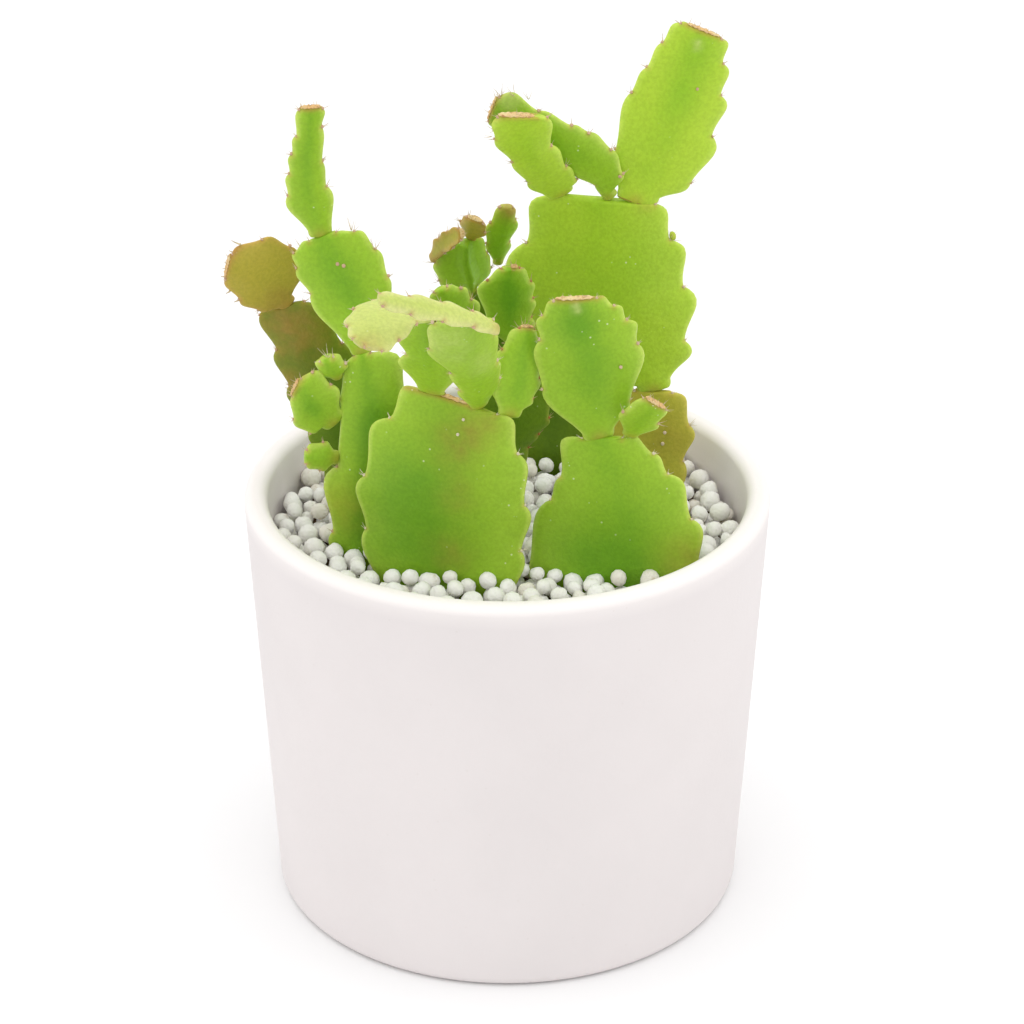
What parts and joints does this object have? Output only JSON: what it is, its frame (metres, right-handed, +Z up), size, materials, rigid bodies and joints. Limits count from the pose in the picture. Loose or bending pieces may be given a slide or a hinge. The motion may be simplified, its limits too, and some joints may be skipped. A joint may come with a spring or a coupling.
{
  "type": "potted holiday cactus",
  "caption": "Young holiday cactus with flat, lobed stem pads growing in a tapered matte ceramic pot, its soil covered with small pale pebbles.",
  "frame": {"origin": "on the pot's axis, at the flat face it stands on", "axes": "+Z up along the pot's axis; the plant is seen from -Y, with +X to the viewer's right"},
  "size_m": [0.1024, 0.0998, 0.1714],
  "materials": {
    "ceramic": "matte",
    "soil": "matte",
    "pebbles": "matte",
    "pad_green": "satin",
    "pad_pale": "satin",
    "pad_olive": "satin",
    "pad_dark": "satin",
    "pad_tan": "satin"
  },
  "bodies": {
    "root": {"pot": "ceramic", "soil": "soil", "pebble_layer": "pebbles", "front_left_base_pad": "pad_green", "front_left_inner_pad": "pad_green", "front_left_curled_pad": "pad_green", "front_left_folded_pad": "pad_pale", "front_left_drooping_pad": "pad_pale", "front_left_round_pad": "pad_green", "front_right_base_pad": "pad_green", "front_right_upper_pad": "pad_green", "front_right_side_pad": "pad_green", "back_right_base_pad": "pad_olive", "back_right_large_pad": "pad_green", "back_right_top_pad": "pad_green", "back_right_left_pad": "pad_green", "back_right_long_pad": "pad_green", "left_base_pad": "pad_green", "left_side_pad": "pad_green", "left_low_pad": "pad_green", "left_small_pad": "pad_green", "left_upper_pad": "pad_green", "left_finger_pad": "pad_green", "far_left_base_pad": "pad_dark", "far_left_top_pad": "pad_tan", "centre_base_pad": "pad_dark", "centre_round_pad": "pad_green", "centre_small_pad": "pad_green", "back_base_pad": "pad_dark", "back_middle_pad": "pad_dark", "back_ribbed_pad": "pad_green", "back_folded_pad": "pad_tan", "back_yellow_pad": "pad_tan", "back_oblong_pad": "pad_green"}
  },
  "joints": []
}
